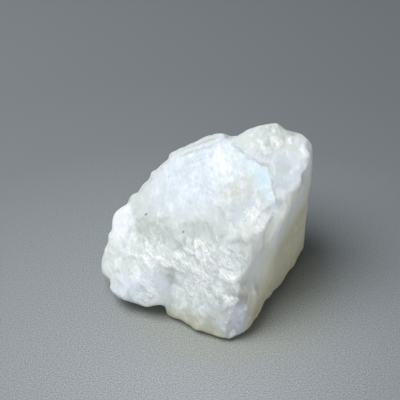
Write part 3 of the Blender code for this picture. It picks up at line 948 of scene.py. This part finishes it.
# The tooth shows less with distance: where that starts and ends, as shares of the painted pool's reach.
TOOTH_NEAR = (0.10, 0.75)
TOOTH_FAR_SHARE = 0.15
# A warm tint painted on the card around the stone, for the light that a milky stone passes on: what it
# multiplies the card's colour by, how much of it, its middle, and where it starts and is full.
GLOW = (1.0, 0.97, 0.80, 1.0)
GLOW_SHARE = 0.60
GLOW_PLACE = (3.0 * MM, -4.0 * MM, 0.0)
GLOW_START = 23.0 * MM
GLOW_FULL = 12.0 * MM


def card():
    """Matt grey card with a fine tooth, and a pool of light painted on it a little in front of the stone."""
    made = bpy.data.materials.new("card")
    made.use_nodes = True
    tree = made.node_tree
    shader = tree.nodes["Principled BSDF"]
    shader.inputs["Roughness"].default_value = CARD_ROUGHNESS
    shader.inputs["Specular IOR Level"].default_value = CARD_GLOSS
    place = add_node(tree, "ShaderNodeTexCoord").outputs["Object"]
    inputs = {0: place, 1: CARD_POOL_PLACE}
    away = add_node(tree, "ShaderNodeVectorMath", inputs, operation="DISTANCE").outputs["Value"]
    away = add_node(tree, "ShaderNodeMapRange", {"Value": away, "From Max": CARD_POOL_REACH}).outputs[0]
    share = add_node(tree, "ShaderNodeMath", {0: away, 1: CARD_FALL}, operation="POWER").outputs[0]
    inputs = {0: share, 6: linear(CARD_POOL_OF_LIGHT), 7: linear(CARD_BEYOND_POOL)}
    grey = add_node(tree, "ShaderNodeMix", inputs, data_type="RGBA").outputs[2]
    inputs = {"Vector": place, "Scale": 1.0 / TOOTH_SIZE, "Detail": 2.0}
    tooth = add_node(tree, "ShaderNodeTexNoise", inputs).outputs[0]
    start, full = TOOTH_SPREAD
    inputs = {"Value": tooth, "From Min": start, "From Max": full, "To Max": TOOTH_SHARE}
    tooth = add_node(tree, "ShaderNodeMapRange", inputs).outputs[0]
    start, end = TOOTH_NEAR
    inputs = {"Value": away, "From Min": start, "From Max": end, "To Min": 1.0, "To Max": TOOTH_FAR_SHARE}
    near = add_node(tree, "ShaderNodeMapRange", inputs).outputs[0]
    tooth = add_node(tree, "ShaderNodeMath", {0: tooth, 1: near}, operation="MULTIPLY").outputs[0]
    inputs = {0: tooth, 6: grey, 7: linear(CARD_TOOTH)}
    grey = add_node(tree, "ShaderNodeMix", inputs, data_type="RGBA").outputs[2]
    inputs = {0: place, 1: GLOW_PLACE}
    close = add_node(tree, "ShaderNodeVectorMath", inputs, operation="DISTANCE").outputs["Value"]
    inputs = {"Value": close, "From Min": GLOW_START, "From Max": GLOW_FULL, "To Max": GLOW_SHARE}
    close = add_node(tree, "ShaderNodeMapRange", inputs, interpolation_type="SMOOTHSTEP").outputs[0]
    inputs = {0: close, 6: grey, 7: GLOW}
    grey = add_node(tree, "ShaderNodeMix", inputs, data_type="RGBA", blend_type="MULTIPLY").outputs[2]
    tree.links.new(grey, shader.inputs["Base Color"])
    return made


bpy.ops.mesh.primitive_plane_add(size=FLOOR_SIDE)
floor = bpy.context.object
floor.name = "floor"
floor.data.materials.append(card())


# ==================================================================================================
# THE LIGHT
# A large soft box to the left and above, a weak fill in front and a wide weak one overhead, in a dim grey
# room.  A low bright band in the room's light, on the right, lifts the right wall.
# ==================================================================================================
def soft_box(name, place, side, power, aim):
    """A square white soft box."""
    lamp = bpy.data.lights.new(name, "AREA")
    lamp.size = side
    lamp.energy = power
    box = bpy.data.objects.new(name, lamp)
    bpy.context.scene.collection.objects.link(box)
    box.location = place
    box.rotation_euler = (Vector(aim) - Vector(place)).to_track_quat("-Z", "Y").to_euler()


# Soft boxes: place, side, power and the point each one faces, in metres and watts.
SOFT_BOXES = {
    "soft_box": ((-0.14, 0.0, 0.27), 0.25, 0.97, (0.0, -0.01, 0.0)),
    "front_fill": ((-0.08, -0.26, 0.16), 0.16, 0.08, (0.0, -0.06, 0.0)),
    "ceiling": ((-0.20, 0.0, 0.45), 0.40, 0.24, (0.0, 0.0, 0.01)),
}
for name, (place, side, power, aim) in SOFT_BOXES.items():
    soft_box(name, place, side, power, aim)

ROOM = "#DDE1E4"
ROOM_STRENGTH = 0.12
# The bright band: its direction and strength, where it starts and is full, as the cosine of the turn away
# from that direction, and the same for its height.
BAND_DIRECTION = (0.81, -0.59, 0.0)
BAND_STRENGTH = 5.6
BAND_START = 0.55
BAND_FULL = 0.95
BAND_TOP = 0.22
BAND_FULL_BELOW = 0.10
room = bpy.data.worlds.new("room")
room.use_nodes = True
room_light = room.node_tree.nodes["Background"]
room_light.inputs["Color"].default_value = linear(ROOM)
way = add_node(room.node_tree, "ShaderNodeTexCoord").outputs["Generated"]
inputs = {0: way, 1: BAND_DIRECTION}
toward = add_node(room.node_tree, "ShaderNodeVectorMath", inputs, operation="DOT_PRODUCT").outputs["Value"]
inputs = {"Value": toward, "From Min": BAND_START, "From Max": BAND_FULL, "To Max": BAND_STRENGTH}
beside_it = add_node(room.node_tree, "ShaderNodeMapRange", inputs, interpolation_type="SMOOTHSTEP").outputs[0]
rising = add_node(room.node_tree, "ShaderNodeSeparateXYZ", {0: way}).outputs["Z"]
inputs = {"Value": rising, "From Min": BAND_TOP, "From Max": BAND_FULL_BELOW}
low_down = add_node(room.node_tree, "ShaderNodeMapRange", inputs, interpolation_type="SMOOTHSTEP").outputs[0]
inputs = {0: beside_it, 1: low_down, 2: ROOM_STRENGTH}
strength = add_node(room.node_tree, "ShaderNodeMath", inputs, operation="MULTIPLY_ADD").outputs[0]
room.node_tree.links.new(strength, room_light.inputs["Strength"])
bpy.context.scene.world = room
bpy.context.scene.view_settings.view_transform = "Standard"


# ==================================================================================================
# THE CAMERA
# It looks down on the stone's front from 40 degrees above the floor, through a long lens.  Its place and lens
# are given with the stone, because the stone's lines are found through it.
# ==================================================================================================
lens = bpy.data.cameras.new("camera")
lens.lens = LENS
lens.sensor_width = SENSOR
lens.clip_start = 0.01
camera = bpy.data.objects.new("camera", lens)
bpy.context.scene.collection.objects.link(camera)
backwards = Vector((0.0, -math.cos(CAMERA_HEIGHT), math.sin(CAMERA_HEIGHT)))
camera.location = (LOOK_AT + CAMERA_DISTANCE * backwards) * MM
camera.rotation_euler = (math.pi / 2 - CAMERA_HEIGHT, 0, 0)
bpy.context.scene.camera = camera
